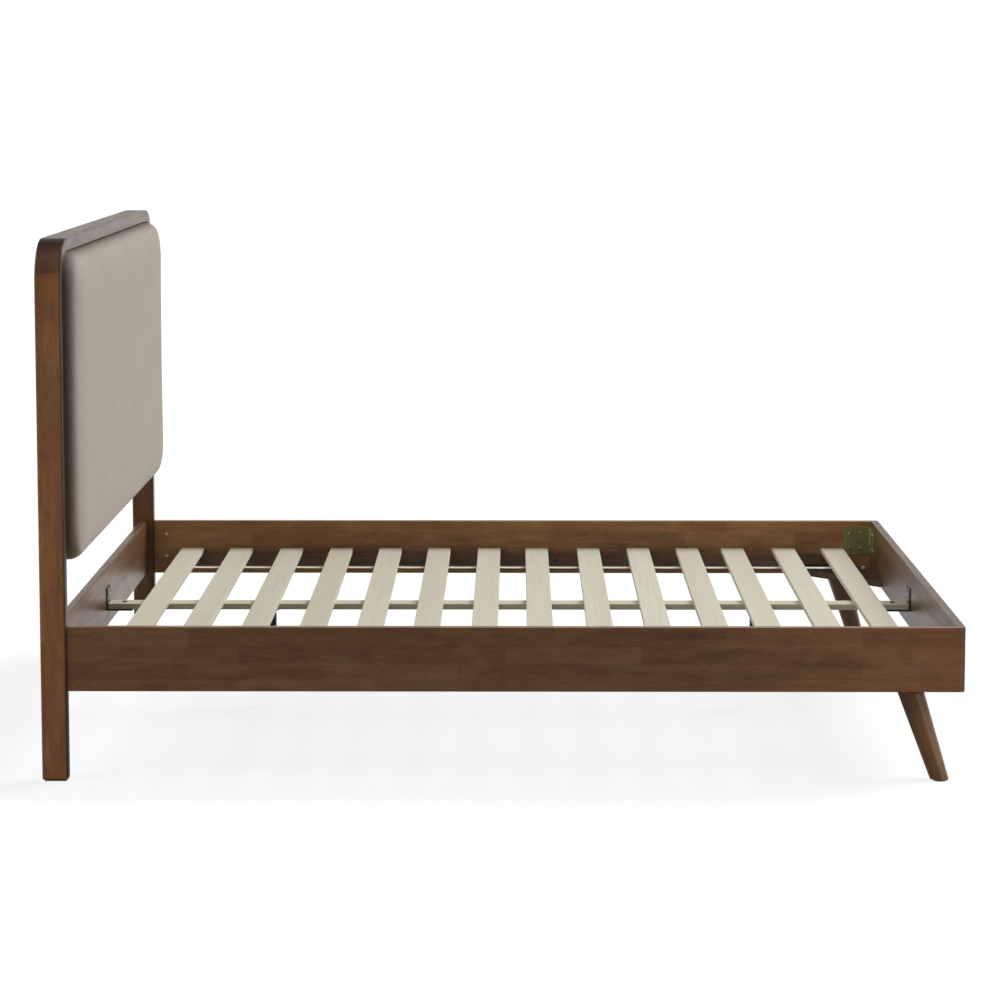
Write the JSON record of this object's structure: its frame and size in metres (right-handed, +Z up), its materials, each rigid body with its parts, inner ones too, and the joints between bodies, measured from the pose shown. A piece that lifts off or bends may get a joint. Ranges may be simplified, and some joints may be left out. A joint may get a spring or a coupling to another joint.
{
  "type": "wooden bed frame",
  "caption": "Walnut platform bed frame with a padded rounded headboard, slats on cleats, a centre beam and splayed turned foot legs.",
  "frame": {"origin": "on the floor, under the middle of the bed's overall length and width", "axes": "+X from the headboard to the foot, +Y to the left of a person lying with the head at the headboard, +Z up"},
  "size_m": [2.13, 1.63, 1.252],
  "materials": {
    "walnut": "satin lacquer",
    "dark_walnut": "matt stain",
    "pale_wood": "sanded, unlacquered",
    "linen": "plain weave",
    "webbing": "woven tape",
    "black_steel": "black powder coat",
    "zinc": "bright zinc plate",
    "black_plastic": "moulded"
  },
  "bodies": {
    "bed": {"barrel_nut_left_lower": "zinc", "barrel_nut_left_upper": "zinc", "barrel_nut_right_lower": "zinc", "barrel_nut_right_upper": "zinc", "beam_bolt_foot": "black_steel", "beam_bolt_head": "black_steel", "beam_bracket_foot": "black_steel", "beam_bracket_head": "black_steel", "bed_bolt_left_lower": "zinc", "bed_bolt_left_upper": "zinc", "bed_bolt_right_lower": "zinc", "bed_bolt_right_upper": "zinc", "centre_beam": "pale_wood", "centre_leg_foot": "black_steel", "centre_leg_head": "black_steel", "cleat_left": "dark_walnut", "cleat_right": "dark_walnut", "corner_bracket_left": "black_steel", "corner_bracket_right": "black_steel", "foot_leg_left": "walnut", "foot_leg_right": "walnut", "foot_rail": "walnut", "head_rail": "walnut", "headboard_pad": "linen", "headboard_panel": "dark_walnut", "headboard_post_left": "walnut", "headboard_post_right": "walnut", "headboard_stretcher": "walnut", "headboard_top_rail": "walnut", "leg_bolt_left": "zinc", "leg_bolt_right": "zinc", "leg_glide_left": "black_plastic", "leg_glide_right": "black_plastic", "leg_gusset_left": "dark_walnut", "leg_gusset_right": "dark_walnut", "post_glide_left": "black_plastic", "post_glide_right": "black_plastic", "rail_screw_foot": "zinc", "rail_screw_head": "zinc", "side_rail_left": "walnut", "side_rail_right": "walnut", "slat_01": "pale_wood", "slat_02": "pale_wood", "slat_03": "pale_wood", "slat_04": "pale_wood", "slat_05": "pale_wood", "slat_06": "pale_wood", "slat_07": "pale_wood", "slat_08": "pale_wood", "slat_09": "pale_wood", "slat_10": "pale_wood", "slat_11": "pale_wood", "slat_12": "pale_wood", "slat_13": "pale_wood", "slat_14": "pale_wood", "slat_tape_left": "webbing", "slat_tape_right": "webbing"},
    "head_foot": {"leveling_foot_head": "black_plastic"},
    "foot_foot": {"leveling_foot_foot": "black_plastic"}
  },
  "joints": [
    {"name": "leveling_head", "type": "slide", "parent": "bed", "child": "head_foot", "axis": [0, 0, 1], "range_m": [-0.046, 0]},
    {"name": "leveling_foot", "type": "slide", "parent": "bed", "child": "foot_foot", "axis": [0, 0, 1], "range_m": [-0.046, 0]}
  ]
}
